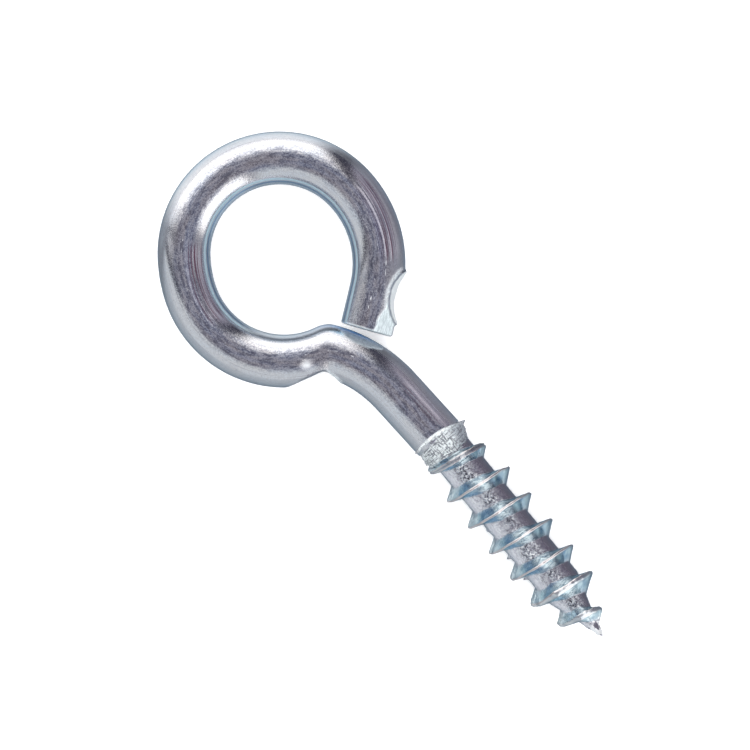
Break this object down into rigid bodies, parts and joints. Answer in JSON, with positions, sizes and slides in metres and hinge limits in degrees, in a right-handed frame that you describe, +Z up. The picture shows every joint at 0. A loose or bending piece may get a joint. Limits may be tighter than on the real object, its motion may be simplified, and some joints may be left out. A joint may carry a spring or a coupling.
{
  "type": "screw eye",
  "caption": "Zinc-plated wire screw eye with a closed round eye, a bent neck, a short plain shank and a coarse gimlet-pointed wood thread.",
  "frame": {"origin": "on the surface that it lies on, below the middle of its bounding box", "axes": "+X along the shank towards the point, +Y across the eye towards its cut end, +Z up from the surface, close to square with the eye's plane"},
  "size_m": [0.04, 0.016, 0.0047],
  "materials": {
    "zinc_plate": "bright bluish zinc plate on drawn steel wire"
  },
  "bodies": {
    "root": {"screw_eye": "zinc_plate"}
  },
  "joints": []
}
